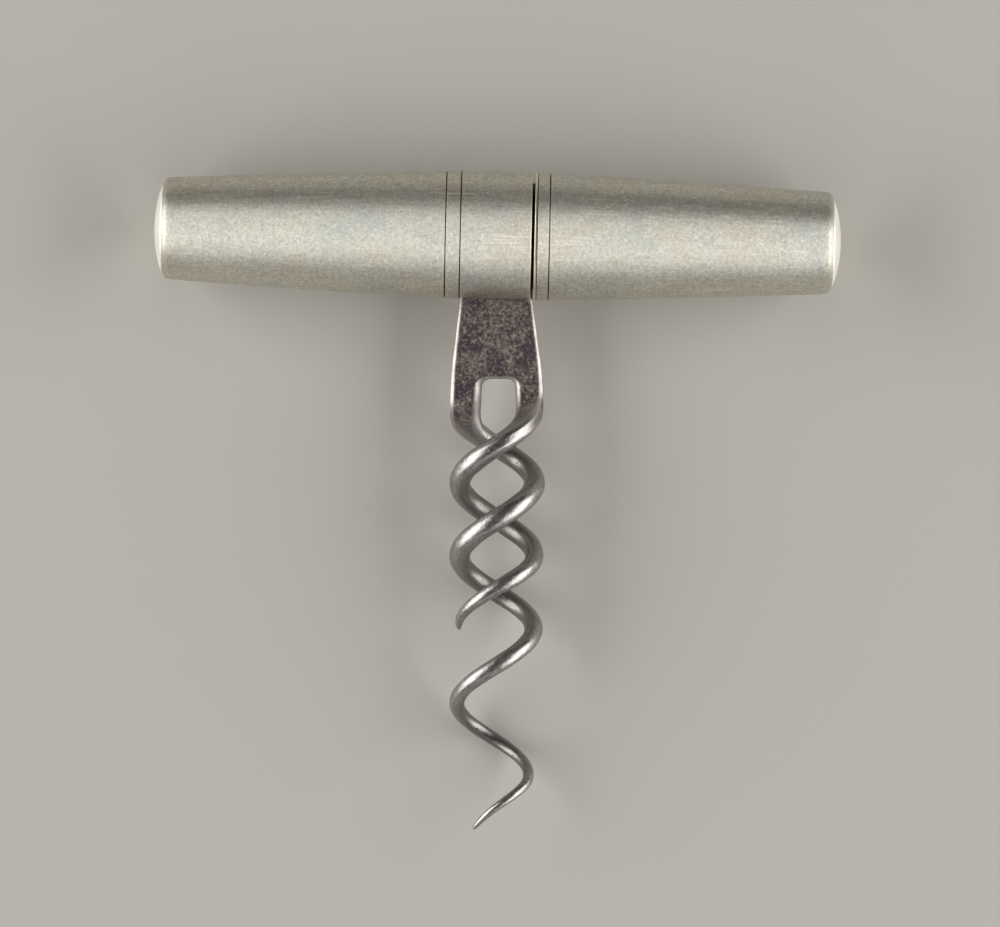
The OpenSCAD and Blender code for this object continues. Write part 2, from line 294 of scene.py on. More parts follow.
@dataclass(frozen=True)
class WornNickel:
    """Nickel plate on turned brass, dulled by a century of pockets.

    The eye sees a satin grey with a trace of yellow that spreads its highlights along the case, because
    the lathe's rings run round it. It has warm and cool clouds, soft mottles, bright flecks painted as glints
    where dents would catch the light, long rubs, short nicks that lie three ways, and brown, tarnished
    engraved lines. Worn edges are painted pale, partly as a highlight, and the seams beside the gaps are
    painted dark brown as shade. Real nicks and rings are finer: they are drawn coarser here so that they
    show.
    """

    name: str = "worn_nickel_plate"
    dull: str = "#bebcad"
    bright: str = "#f0eee3"
    warm: str = "#d2c4ad"
    cool: str = "#c0c4c3"
    # Bright flecks painted as glints where dents would catch the light.
    fleck: str = "#f6f5ec"
    pit: str = "#85816f"
    # Dark brown of the tarnished engraved lines, also painted as shade on the seams beside the gaps, and a
    # pale edge colour that is partly a painted highlight.
    tarnish_and_seam_shade: str = "#35240f"
    lip_wear_and_highlight: str = "#ece2ca"
    roughness: float = 0.55
    rough_spread: float = 0.07
    scuff: float = 0.25
    turned: float = 0.7
    mottle_mm: float = 0.5
    cloud_mm: float = 7.0
    fleck_mm: float = 0.3
    # Length along and round the case. Rings and nicks are coarser than real ones, so that they show.
    ring_mm: tuple[float, float] = (0.22, 5.0)
    rub_mm: tuple[float, float] = (9.0, 0.3)
    nick_mm: tuple[float, float] = (1.2, 0.14)
    nick_turns: tuple[float, ...] = (0.5, 1.9, 2.7)
    dent_mm: float = 0.035
    dent_strength: float = 0.6
    lip_strength: float = 0.05

    def material(self) -> bpy.types.Material:
        """Builds the material.

        Returns:
            A material that reads Object coordinates, the surface_mm map and the groove and edge values.
        """
        made, tree, shader = metal(self.name)
        where = put(tree, "TexCoord")
        mottle, cloud, fleck = (
            put(tree, "TexNoise", {"Vector": where.outputs["Object"], "Scale": per_metre(size),
                                   "Detail": detail, "Roughness": rough})
            for size, detail, rough in ((self.mottle_mm, 5.0, 0.8), (self.cloud_mm, 4.0, 0.6),
                                        (self.fleck_mm, 2.0, 0.5)))
        drawn = []
        for (along, around), turn, detail, rough in (
                (self.ring_mm, 0.0, 2.0, 0.5), (self.rub_mm, 0.0, 4.0, 0.6),
                *((self.nick_mm, turn, 1.0, 0.5) for turn in self.nick_turns)):
            flat = put(tree, "Mapping", {"Vector": where.outputs["UV"], "Rotation": (0.0, 0.0, turn),
                                         "Scale": (along, around, 1.0)}, vector_type="TEXTURE")
            drawn.append(put(tree, "TexNoise",
                             {"Vector": flat, "Scale": 1.0, "Detail": detail, "Roughness": rough}))
        rings, rubs, *nicks = drawn
        groove, edge = (put(tree, "Attribute", attribute_name=name).outputs["Fac"]
                        for name in ("groove", "edge"))
        patch = put(tree, "MapRange", {"Value": cloud, "From Min": 0.44, "From Max": 0.56})
        rub = put(tree, "MapRange", {"Value": rubs, "From Min": 0.54, "From Max": 0.68, "To Max": 0.8})
        worn = put(tree, "Math", {0: rub, 1: patch}, operation="MULTIPLY")
        for noise in nicks:
            nick = put(tree, "MapRange", {"Value": noise, "From Min": 0.66, "From Max": 0.73})
            worn = put(tree, "Math", {0: worn, 1: nick}, operation="MAXIMUM")
        ringed = put(tree, "Math", {0: rings, 1: 0.1, 2: mottle}, operation="MULTIPLY_ADD")
        # Bright flecks among these layers are painted glints.
        layers = [(put(tree, "MapRange", {"Value": noise, "From Min": start, "From Max": full,
                                          "To Max": most}), colour)
                  for noise, start, full, most, colour in (
                      (ringed, 0.38, 0.72, 1.0, self.bright), (cloud, 0.45, 0.72, 0.5, self.warm),
                      (cloud, 0.48, 0.3, 0.45, self.cool), (fleck, 0.59, 0.71, 0.85, self.fleck),
                      (fleck, 0.33, 0.24, 0.6, self.pit))]
        # Edges take a pale colour that is wear and a painted highlight; the dark brown is tarnished metal in
        # the engraved lines and painted shade on the seams.
        layers += [(worn, self.fleck), (edge, self.lip_wear_and_highlight), (groove, self.tarnish_and_seam_shade)]
        tone = linear(self.dull)
        for share, colour in layers:
            tone = put(tree, "Mix", {0: share, MIX_A: tone, MIX_B: linear(colour)}, data_type="RGBA")
        rough = put(tree, "MapRange", {"Value": mottle, "From Min": 0.3, "From Max": 0.7,
                                       "To Min": self.roughness + self.rough_spread,
                                       "To Max": self.roughness - self.rough_spread})
        scuffed = put(tree, "Math", {0: worn, 1: self.scuff, 2: rough}, operation="MULTIPLY_ADD")
        dents = put(tree, "Math", {0: fleck, 1: 0.7, 2: mottle}, operation="MULTIPLY_ADD")
        relief = put(tree, "Math", {0: rings, 1: 0.3, 2: dents}, operation="MULTIPLY_ADD")
        depth = put(tree, "MapRange",
                    {"Value": edge, "To Min": self.dent_strength, "To Max": self.lip_strength})
        bump = put(tree, "Bump", {"Height": relief, "Strength": depth, "Distance": self.dent_mm * MM})
        lengthwise = put(tree, "Tangent", direction_type="UV_MAP", uv_map=UV_NAME)
        plug(shader, {"Base Color": tone, "Roughness": scuffed, "Normal": bump, "Tangent": lengthwise,
                      "Anisotropic": self.turned})
        return made


@dataclass(frozen=True)
class ThreadNickel:
    """Nickel plate on the cut thread and its bush. Only the bush's rim shows when the case is shut.

    The eye sees a cleaner metal than outside, brass where the thread has worn it bare, a bright rim at the
    mouth of the bush that is worn and painted pale as a highlight, and a dark brown painted as shade on the
    shoulder, in the gap that the two halves leave.
    """

    name: str = "thread_nickel_plate"
    plate: str = "#cfcabb"
    brass: str = "#c2a15f"
    # A pale rim painted as a highlight, and a dark brown painted as shade in the gap.
    lip_wear_and_highlight: str = "#f0eadd"
    gap_shade: str = "#261c11"
    roughness: tuple[float, float] = (0.48, 0.32)
    rub_mm: float = 0.8
    rub_depth_mm: float = 0.02
    rub_strength: float = 0.2
    # Where the rim's painted highlight and the gap's painted shade start and end, along the case from its
    # middle.
    lip_highlight_span_mm: tuple[float, float] = (4.62, 4.94)
    gap_shade_span_mm: tuple[float, float] = (4.1, 4.59)
    fade_mm: float = 0.02

    def material(self) -> bpy.types.Material:
        """Builds the material.

        Returns:
            A material that reads Object coordinates.
        """
        made, tree, shader = metal(self.name)
        spot = put(tree, "TexCoord").outputs["Object"]
        rubs = put(tree, "TexNoise",
                   {"Vector": spot, "Scale": per_metre(self.rub_mm), "Detail": 4.0, "Roughness": 0.7})
        bare = put(tree, "MapRange", {"Value": rubs, "From Min": 0.45, "From Max": 0.65, "To Max": 0.6})
        tone = put(tree, "Mix",
                   {0: bare, MIX_A: linear(self.plate), MIX_B: linear(self.brass)}, data_type="RGBA")
        along = put(tree, "SeparateXYZ", {0: spot})
        # Paints the highlight on the bush's rim and the shade in the gap.
        for colour, (start, end) in ((self.lip_wear_and_highlight, self.lip_highlight_span_mm), (self.gap_shade, self.gap_shade_span_mm)):
            half = (end - start) / 2
            reach = put(tree, "Math", {0: along, 1: (start + end) / 2 * MM}, operation="SUBTRACT")
            away = put(tree, "Math", {0: reach}, operation="ABSOLUTE")
            clear = put(tree, "MapRange",
                        {"Value": away, "From Min": half * MM, "From Max": (half + self.fade_mm) * MM})
            tone = put(tree, "Mix", {0: clear, MIX_A: linear(colour), MIX_B: tone}, data_type="RGBA")
        rough = put(tree, "MapRange", {"Value": rubs, "From Min": 0.3, "From Max": 0.7,
                                       "To Min": self.roughness[0], "To Max": self.roughness[1]})
        bump = put(tree, "Bump", {"Height": rubs, "Strength": self.rub_strength,
                                  "Distance": self.rub_depth_mm * MM})
        plug(shader, {"Base Color": tone, "Roughness": rough, "Normal": bump})
        return made


@dataclass(frozen=True)
class PolishedNickel:
    """Nickel plate on a spun brass cap, worn by pockets to a soft white shine.

    The eye sees a clean bright metal with a soft bloom and a few fine scratches.
    """

    name: str = "polished_nickel_plate"
    bright: str = "#fffdf8"
    soft: str = "#f2eee4"
    roughness: tuple[float, float] = (0.56, 0.7)
    bloom_mm: float = 2.6
    scratch_mm: tuple[float, float, float] = (0.5, 0.12, 3.0)
    scratch_depth_mm: float = 0.01
    scratch_strength: float = 0.15

    def material(self) -> bpy.types.Material:
        """Builds the material.

        Returns:
            A material that reads Object coordinates.
        """
        made, tree, shader = metal(self.name)
        spot = put(tree, "TexCoord").outputs["Object"]
        bloom = put(tree, "TexNoise",
                    {"Vector": spot, "Scale": per_metre(self.bloom_mm), "Detail": 5.0, "Roughness": 0.65})
        share = put(tree, "MapRange", {"Value": bloom, "From Min": 0.45, "From Max": 0.75, "To Max": 0.7})
        tone = put(tree, "Mix",
                   {0: share, MIX_A: linear(self.bright), MIX_B: linear(self.soft)}, data_type="RGBA")
        rough = put(tree, "MapRange", {"Value": bloom, "From Min": 0.35, "From Max": 0.7,
                                       "To Min": self.roughness[0], "To Max": self.roughness[1]})
        turned = put(tree, "Mapping",
                     {"Vector": spot, "Scale": tuple(per_metre(size) for size in self.scratch_mm)})
        scratch = put(tree, "TexNoise", {"Vector": turned, "Scale": 1.0, "Detail": 2.0})
        bump = put(tree, "Bump", {"Height": scratch, "Strength": self.scratch_strength,
                                  "Distance": self.scratch_depth_mm * MM})
        plug(shader, {"Base Color": tone, "Roughness": rough, "Normal": bump})
        return made


@dataclass(frozen=True)
class ForgedSteel:
    """Hand-forged carbon steel, filed, wound hot and polished, then darkened with age.

    The eye sees satin grey wire with a fine speckle and small rust pits, which corks keep bright outside and
    which stays dull inside, where the coil's inner side is also painted darker as shade, a plate under a
    mottled brown and violet oxide that scatters light, and edges that handling keeps bright.
    """

    name: str = "forged_steel"
    polished: str = "#cbc7c3"
    drawn: str = "#827e7b"
    # Darker steel of the coil's inner side: less wear there, and painted shade.
    inside: str = "#84817d"
    oxide: str = "#443b39"
    oxide_pale: str = "#a5988f"
    violet: str = "#483e48"
    fleck: str = "#c2b9a6"
    pit: str = "#211a18"
    edge: str = "#c4bfb9"
    wire_roughness: float = 0.34
    inside_roughness: float = 0.36
    oxide_roughness: float = 0.46
    pit_roughness: float = 0.3
    oxide_metallic: float = 0.6
    grain_mm: float = 0.4
    pit_mm: float = 0.4
    cloud_mm: float = 2.6
    # Marks of the drawing plate to a millimetre, along and round the wire.
    drawn_per_mm: tuple[float, float] = (0.3, 7.0)
    pit_depth_mm: float = 0.035
    pit_strength: float = 0.55
    edge_strength: float = 0.12

    def material(self) -> bpy.types.Material:
        """Builds the material.

        Returns:
            A material that reads Object coordinates, the surface_mm map and the patina, outward and edge
            values.
        """
        made, tree, shader = metal(self.name)
        where = put(tree, "TexCoord")
        patina, outward, edge = (put(tree, "Attribute", attribute_name=name).outputs["Fac"]
                                 for name in ("patina", "outward", "edge"))
        grain, cloud, pits = (
            put(tree, "TexNoise", {"Vector": where.outputs["Object"], "Scale": per_metre(size),
                                   "Detail": detail, "Roughness": rough})
            for size, detail, rough in ((self.grain_mm, 4.0, 0.75), (self.cloud_mm, 4.0, 0.6),
                                        (self.pit_mm, 3.0, 0.7)))
        flat = put(tree, "Mapping", {"Vector": where.outputs["UV"], "Scale": (*self.drawn_per_mm, 1.0)})
        drawn = put(tree, "TexNoise", {"Vector": flat, "Scale": 1.0, "Detail": 3.0})
        marks = put(tree, "Math", {0: drawn, 1: 0.5, 2: grain}, operation="MULTIPLY_ADD")
        speckle, outer_rub_inner_shade, mottle, tint, flecks, hollow, pitting, hold = (
            put(tree, "MapRange", {"Value": value, "From Min": start, "From Max": full,
                                   "To Min": least, "To Max": most})
            for value, start, full, least, most in (
                (marks, 0.55, 0.95, 0.0, 1.0), (outward, 0.2, 0.8, 0.0, 1.0), (grain, 0.38, 0.62, 0.0, 1.0),
                (cloud, 0.42, 0.6, 0.0, 0.8), (pits, 0.57, 0.69, 0.0, 0.85), (pits, 0.24, 0.44, 0.0, 1.0),
                (pits, 0.38, 0.29, 0.0, 0.85), (cloud, 0.35, 0.6, 1.0, 0.7)))
        spread = put(tree, "Math", {0: cloud, 1: 0.5, 2: -0.25}, operation="MULTIPLY_ADD")
        aged = put(tree, "Math", {0: patina, 1: spread}, operation="ADD", use_clamp=True)
        bared = put(tree, "Math", {0: edge, 1: hold}, operation="MULTIPLY")
        kept = put(tree, "Math", {0: aged, 1: bared}, operation="SUBTRACT", use_clamp=True)
        wire = put(tree, "Mix", {0: speckle, MIX_A: linear(self.polished), MIX_B: linear(self.drawn)},
                   data_type="RGBA")
        # The inner side of the wire is painted darker: less wear there, and painted shade.
        wound = put(tree, "Mix", {0: outer_rub_inner_shade, MIX_A: linear(self.inside), MIX_B: wire}, data_type="RGBA")
        plate = linear(self.oxide)
        for share, colour in ((mottle, self.oxide_pale), (tint, self.violet), (flecks, self.fleck)):
            plate = put(tree, "Mix", {0: share, MIX_A: plate, MIX_B: linear(colour)}, data_type="RGBA")
        tone = put(tree, "Mix", {0: aged, MIX_A: wound, MIX_B: plate}, data_type="RGBA")
        for share, colour in ((pitting, self.pit), (bared, self.edge)):
            tone = put(tree, "Mix", {0: share, MIX_A: tone, MIX_B: linear(colour)}, data_type="RGBA")
        shine = put(tree, "MapRange", {"Value": kept, "To Min": 1.0, "To Max": self.oxide_metallic})
        gloss = put(tree, "MapRange",
                    {"Value": outer_rub_inner_shade, "To Min": self.inside_roughness, "To Max": self.wire_roughness})
        base = put(tree, "MapRange", {"Value": aged, "To Min": gloss, "To Max": self.oxide_roughness})
        rough = put(tree, "Math", {0: pitting, 1: self.pit_roughness, 2: base}, operation="MULTIPLY_ADD")
        filed = put(tree, "Math", {0: drawn, 1: 0.5, 2: hollow}, operation="MULTIPLY_ADD")
        relief = put(tree, "Math", {0: grain, 1: 0.5, 2: filed}, operation="MULTIPLY_ADD")
        depth = put(tree, "MapRange",
                    {"Value": bared, "To Min": self.pit_strength, "To Max": self.edge_strength})
        bump = put(tree, "Bump", {"Height": relief, "Strength": depth, "Distance": self.pit_depth_mm * MM})
        plug(shader, {"Base Color": tone, "Metallic": shine, "Roughness": rough, "Normal": bump})
        return made


@dataclass
class Case:
    """The two tapered halves, their domed caps and the band between them."""

    nickel: bpy.types.Material
    polished: bpy.types.Material
    place: Matrix
    case_r: float = 8.021
    end_r: float = 6.375
    half_l: float = 36.8
    swell: float = 0.1
    tube_wall: float = 0.5
    mouth_x: float = 4.63
    mouth_gap: float = 0.4
    flange_t: float = 0.3
    left_seat_l: float = 5.1
    right_seat_l: float = 4.4
    line_inset: float = 1.85
    line_half_w: float = 0.11
    line_depth: float = 0.15
    edge_reach: float = 0.1
    seam_reach: float = 0.16
    seam_points: int = 4
    roll_in: float = 0.6
    roll_corner: tuple[float, float] = (6.36, 0.15)
    roll_edge: tuple[float, float] = (5.45, 0.51)
    # Distances between the details of a profile and the plain rows beside them, and numbers of rows.
    lead_in: float = 0.2
    line_gap: float = 0.06
    body_in: float = 0.4
    row_gap: float = 0.02
    bore_in: float = 0.1
    roll_points: int = 16
    line_points: int = 15
    lead_points: int = 5
    body_points: int = 72
    bore_points: int = 24
    band_points: int = 24
    dome_points: int = 60
    furrow_power: float = 0.8
    tarnish_power: float = 0.7
    # Shares of bright bare metal, whose pale colour is partly a painted highlight: on edges, on the furrow's
    # near side, and from start to end of the roll.
    worn: float = 0.4
    half_wear_and_highlight: float = 0.25
    roll_wear_and_highlight: tuple[float, float, float] = (-0.2, 0.8, 0.5)
    dome_h: float = 1.5
    dome_power: float = 1.5
    rim_inset: float = 0.06
    cap_wall: float = 0.6
    cap_skirt_l: float = 2.5
    solder_gap: float = 0.03
    band_bore_r: float = 7.05
    slot_w: float = 2.6
    turns: int = 288

    def half_r(self, s: np.ndarray) -> np.ndarray:
        """Gives a half's outer radius at a distance from its mouth: a straight taper with a slight swell."""
        t = s / self.half_l
        return self.case_r + (self.end_r - self.case_r) * t + 4 * self.swell * t * (1 - t)

    def revolve(self, profile: np.ndarray, **values: np.ndarray) -> Skin:
        """Turns a profile round the case's axis, with the seam underneath.

        Args:
            profile: radius and x, one point a row.
            values: one number for each point of the profile, under each name.

        Returns:
            The skin, with distances along the profile and round the case on its map.
        """
        angle = np.linspace(-0.5 * math.pi, 1.5 * math.pi, self.turns + 1)
        r, x = profile[:, :1], profile[:, 1:]
        points = np.stack(np.broadcast_arrays(x, r * np.cos(angle), r * np.sin(angle)), -1)
        places = np.stack(np.meshgrid(run_along(profile), angle * self.case_r, indexing="ij"), -1)
        skin = Skin()
        skin.add_grid(points, places, **{name: value[:, None] for name, value in values.items()})
        return skin

    def tube(self, side: Side) -> Skin:
        """Makes a drawn tube, with a furrow for its engraved line and its end rolled over the cap's rim.

        Its profile runs from the mouth along the outside, over the rolled end and back along the bore.

        Args:
            side: which half.

        Returns:
            The tube's skin.
        """
        s0 = self.flange_t if side is Side.RIGHT else 0.0
        seat = self.right_seat_l if side is Side.RIGHT else self.left_seat_l
        mouth_bore = self.half_r(seat) - self.tube_wall
        corner = (self.roll_corner[0], self.half_l + self.roll_corner[1])
        tip = (self.roll_edge[0], self.half_l + self.roll_edge[1])
        under = self.half_l + 2 * self.solder_gap
        mouth = (float(self.half_r(s0)), s0)
        line = np.linspace(-1, 1, self.line_points)
        line_s = self.line_inset + self.line_half_w * line
        furrow = (0.5 + 0.5 * np.cos(math.pi * line)) ** self.furrow_power
        lead = np.linspace(s0 + self.lead_in, line_s[0] - self.line_gap, self.lead_points)
        body_end = corner[1] - self.roll_in - self.row_gap
        body_s = np.concatenate([[line_s[-1] + self.line_gap],
                                 np.linspace(line_s[-1] + self.body_in, body_end, self.body_points)])
        bore_s = np.linspace(self.half_l - self.bore_in, seat, self.bore_points)
        parts = [
            fillet((mouth_bore, s0), mouth, (self.half_r(s0 + 1), s0 + 1), self.seam_reach),
            np.stack([self.half_r(lead), lead], -1),
            np.stack([self.half_r(line_s) - self.line_depth * furrow, line_s], -1),
            np.stack([self.half_r(body_s), body_s], -1),
            fillet((self.half_r(self.half_l - 1), self.half_l - 1), corner, tip, self.roll_in,
                   self.roll_points),
            fillet(corner, tip, (tip[0], under), self.edge_reach / 2),
            np.array([[tip[0], under], [self.end_r - self.tube_wall, under]]),
            np.stack([self.half_r(bore_s) - self.tube_wall, bore_s], -1),
            np.array([[mouth_bore, seat - self.row_gap], [mouth_bore, s0]]),
        ]
        profile = np.vstack(parts + [parts[0][:1]])
        groove = np.zeros(len(profile))
        edge = np.zeros(len(profile))
        first = len(parts[0]) + len(parts[1])
        last = first + len(line)
        groove[first:last] = furrow ** self.tarnish_power
        edge[last - 2:last + 1] = self.worn
        edge[first - 1:first + 2] = self.half_wear_and_highlight
        # The end face at the mouth is painted dark brown, as shade in the seam's gap.
        groove[:self.seam_points] = groove[-1] = 1.0
        edge[self.seam_points:len(parts[0])] = self.worn
        roll = sum(len(part) for part in parts[:4])
        roll_rows = len(parts[4]) + len(parts[5])
        # The roll is painted paler along its length, partly as a highlight.
        start, end, most = self.roll_wear_and_highlight
        edge[roll:roll + roll_rows] = np.clip(np.linspace(start, end, roll_rows), 0, most)
        profile[:, 1] = side.value * (self.mouth_x + profile[:, 1])
        return self.revolve(profile, groove=groove, edge=edge)

    def cap(self, side: Side) -> Skin:
        """Makes a spun cap: a dome inside the tube's rolled end, over a skirt that sits in the tube.

        The radius goes as the sine of an angle and the height as its cosine to the power of one and a half.

        Args:
            side: which half.

        Returns:
            The cap's skin.
        """
        cap_x = self.mouth_x + self.half_l + self.solder_gap
        rim_r = self.end_r - self.rim_inset
        shown_r = self.roll_edge[0] - self.solder_gap
        a = np.linspace(0, math.asin(shown_r / rim_r), self.dome_points)
        dome = np.stack([rim_r * np.sin(a), cap_x + self.dome_h * np.cos(a) ** self.dome_power], -1)
        skirt_r = self.end_r - self.tube_wall - self.solder_gap
        inner_r = skirt_r - self.cap_wall
        foot_x = cap_x - self.solder_gap - self.cap_skirt_l
        under = np.array([[shown_r, cap_x], [skirt_r, cap_x], [skirt_r, foot_x],
                          [inner_r, foot_x], [inner_r, cap_x], [0, cap_x]])
        profile = np.vstack([dome, under])
        profile[:, 1] *= side.value
        return self.revolve(profile)

    def band(self) -> Skin:
        """Makes the band between the halves, open at the slot that the plate swings through.

        At each radius the band runs from one flat side of the slot round to the other.

        Returns:
            The band's skin.
        """
        x0, x1, r0, r1 = -self.mouth_x, self.mouth_x - self.mouth_gap, self.band_bore_r, self.case_r
        outer_x = np.linspace(x0 + self.lead_in, x1 - self.lead_in, self.band_points)
        outer = np.stack([np.full_like(outer_x, r1), outer_x], -1)
        parts = [fillet((r0, x0), (r1, x0), (r1, x1), self.seam_reach), outer,
                 fillet((r1, x0), (r1, x1), (r0, x1), self.seam_reach), np.array([[r0, x1], [r0, x0]])]
        profile = np.vstack(parts + [parts[0][:1]])
        edge = np.zeros(len(profile))
        groove = np.zeros(len(profile))
        rounded = len(parts[0])
        lip_wear_and_highlight = rounded + len(outer)
        # The seams' end faces are painted dark brown, as shade in the gaps.
        groove[:self.seam_points] = groove[-3:] = 1.0
        edge[self.seam_points:rounded] = self.worn
        # The rounded edge beside the gap is painted fully pale, as a highlight.
        edge[lip_wear_and_highlight:lip_wear_and_highlight + len(parts[2])] = 1.0
        r, x = profile[:, :1], profile[:, 1:]
        share = np.linspace(0, 1, self.turns + 1)
        half_slot = np.arcsin(0.5 * self.slot_w / r)
        angle = -math.pi + half_slot + share * (2 * math.pi - 2 * half_slot)
        points = np.stack(np.broadcast_arrays(x, r * np.cos(angle), r * np.sin(angle)), -1)
        places = np.stack(np.broadcast_arrays(run_along(profile)[:, None], angle * self.case_r), -1)
        skin = Skin()
        first = skin.add_grid(points, places, groove=groove[:, None], edge=edge[:, None])
        rows, columns = angle.shape
        loop = first + np.arange(rows - 1) * columns
        skin.faces += [loop.tolist(), (loop + columns - 1)[::-1].tolist()]
        return skin

    def build(self) -> None:
        """Makes every piece of the case that shows when it is shut."""
        worn, bright = (self.nickel, Slot.CASE), (self.polished, Slot.CAP)
        for name, skin, (finish, slot), body, node in (
                ("left_tube_skin", self.tube(Side.LEFT), worn, "case", "left_case_tube"),
                ("right_tube_skin", self.tube(Side.RIGHT), worn, "right_half", "right_case_tube"),
                ("left_cap_skin", self.cap(Side.LEFT), bright, "case", "left_end_cap"),
                ("right_cap_skin", self.cap(Side.RIGHT), bright, "right_cap", "right_end_cap"),
                ("band_skin", self.band(), worn, "case", "centre_collar")):
            dress(skin.make(name, self.place), finish, body, slot, node)


@dataclass
class Strand:
    """One strand of the worm: which prong it leaves, where and how it ends, and how its prong is filed.

    Attributes:
        turn: 1 for the right prong, -1 for the left one, which is the right one turned round the axis.
        end_d: distance from the pin to the strand's end.
        taper_l: length over which it thins to a point.
        turn_in: share by which its point turns in towards the axis.
        lead: distance by which its last half turn runs ahead.
        rim: how far its prong's inner edge is rounded.
        bevel_l: how far the plate's bevel runs on down its prong.
    """

    turn: int
    end_d: float
    taper_l: float
    turn_in: float
    lead: float
    rim: float
    bevel_l: float


@dataclass
class Rings:
    """Sections of one half of the forging, in order from its head to its point.

    Attributes:
        inner: each section's inner end.
        inner_way: the direction from there into the metal.
        outer: each section's outer end.
        outer_way: the direction from there into the metal.
        up: each section's own upward direction.
        half_t: half of its thickness.
        inner_rim: how far its inner edge is rounded, across and down.
        outer_rim: how far its outer edge is bevelled across.
        outer_drop: how far its outer edge is bevelled down.
        round: its share of the change from bevel to round wire.
    """

    inner: np.ndarray
    inner_way: np.ndarray
    outer: np.ndarray
    outer_way: np.ndarray
    up: np.ndarray
    half_t: np.ndarray
    inner_rim: np.ndarray
    outer_rim: np.ndarray
    outer_drop: np.ndarray
    round: np.ndarray


@dataclass
class Worm:
    """The forging: a plate on the pin that forks into two prongs, each wound into a strand."""

    steel: bpy.types.Material
    place: Matrix
    case_r: float = 8.021
    worm_d: float = 12.0
    wire_d: float = 2.65
    pitch: float = 18.3
    long_l: float = 56.1
    short_l: float = 31.2
    long_taper_l: float = 36.0
    short_taper_l: float = 12.0
    point_d: float = 0.4
    point_offset: float = 2.9
    stray: float = 1.45
    short_lead: float = 0.6
    twist_in: float = 5.6
    round_in: float = 11.0
    plate_t: float = 2.3
    neck_w: float = 9.1
    fork_w: float = 11.6
    plate_l: float = 9.9
    fork_gap: float = 4.2
    fork_offset: float = 0.25
    corner_r: float = 1.1
    hole_r: float = 1.52
    neck_bevel_w: float = 0.26
    fork_bevel_w: float = 0.54
    bevel_drop: float = 0.3
    least_fall: float = 0.06
    left_bevel_l: float = 4.2
    oxide_l: float = 4.0
    bare_in: float = 8.0
    rim_r: float = 0.28
    left_rim_r: float = 1.05
    right_rim_r: float = 0.7
    flare_soft: float = 0.3
    head_l: float = 3.2
    hole_rim_r: float = 0.1
    fork_in: float = 1.2
    # Unevenness of the wire: share of its thickness, radians to a millimetre, and shift between the strands.
    waver: tuple[tuple[float, float, int], ...] = ((0.012, 1.33, 1), (0.009, 2.9, 2))
    wall_power: float = 1.25
    edge_power: float = 1.7
    corner_weight: float = 4.0
    # Steps along the worm, and numbers of points and rows.
    step: float = 0.16
    nudge: float = 0.05
    edge_nudge: float = 0.01
    shell_points: int = 44
    wall_points: int = 22
    corner_points: int = 12
    point_rows: int = 9
    fan_rows: int = 40
    plate_rows: int = 64

    def __post_init__(self) -> None:
        """Works out the distances from the pin along the worm."""
        self.fork_d = self.case_r + self.plate_l
        self.prong_d = self.fork_d + self.corner_r
        self.long_d = self.fork_d + self.long_l
        self.short_d = self.fork_d + self.short_l

    def edge_x(self, d: np.ndarray) -> np.ndarray:
        """Gives half the plate's width at distance d: neck, straight flare, and prong, with soft corners."""
        flare = self.neck_w / 2 + (self.fork_w - self.neck_w) / 2 * (d - self.case_r) / self.plate_l
        low = np.clip(0.5 + 0.5 * (flare - self.fork_w / 2) / self.flare_soft, 0, 1)
        width = blend(flare, self.fork_w / 2, low) - self.flare_soft * low * (1 - low)
        return np.maximum(width, self.neck_w / 2)

    def winding(self, d: np.ndarray, strand: Strand) -> np.ndarray:
        """Gives the angle wound at distance d: the prongs start straight and pick up the full twist.

        Args:
            d: distances from the pin along the worm.
            strand: the strand, whose last half turn may run ahead.

        Returns:
            Angles in radians.
        """
        s = np.maximum(d - self.prong_d, 0)
        even = np.where(s < self.twist_in, s ** 2 / (2 * self.twist_in), s - self.twist_in / 2)
        ahead = strand.lead * smooth((d - strand.end_d) / (self.pitch / 4) + 2)
        return 2 * math.pi / self.pitch * (even + ahead)

    def inner_x(self, strand: Strand) -> float:
        """Gives the distance from the worm's axis to the inner wall of a strand's prong."""
        return self.fork_gap / 2 + strand.turn * self.fork_offset

    def rounding(self, d: np.ndarray) -> np.ndarray:
        """Gives the share of the change from flat prong to round wire at distance d."""
        return smooth((d - self.prong_d) / self.round_in)

    def centre(self, d: np.ndarray, strand: Strand) -> np.ndarray:
        """Gives the middle of a strand, turned so that its prong is the right one.

        The strand is a screw line about an axis that strays with the cube of the distance.

        Args:
            d: distances from the pin along the worm.
            strand: the strand.

        Returns:
            One point a row.
        """
        prong_x = (self.fork_w / 2 + self.inner_x(strand)) / 2
        coil_r = blend(prong_x, (self.worm_d - self.wire_d) / 2, self.rounding(d))
        turned_in = strand.turn_in * smooth((d - strand.end_d) / (self.pitch / 3) + 1)
        coil_r = blend(coil_r, self.point_offset, turned_in)
        stray = -self.stray * (np.maximum(d - self.fork_d, 0) / self.long_l) ** 3
        a = self.winding(d, strand)
        return np.stack([strand.turn * stray + coil_r * np.cos(a), -d, coil_r * np.sin(a)], -1)

    def head_rings(self) -> Rings:
        """Makes the sections that fan round the pin's hole, from the top of the head to below the hole."""
        a = np.linspace(0, math.pi, self.fan_rows)
        out = np.stack([np.sin(a), np.cos(a), 0 * a], -1)
        r = self.neck_w / 2
        below = np.maximum(a / (math.pi / 2) - 1, 0)
        beside = np.stack([np.full_like(a, r), -self.head_l * below, 0 * a], -1)
        upper = (a <= math.pi / 2)[:, None]
        outer = np.where(upper, r * out, beside)
        outer_way = np.where(upper, -out, [-1.0, 0.0, 0.0])
        return self.flat_rings(self.hole_r * out, out, outer, outer_way, self.hole_rim_r)

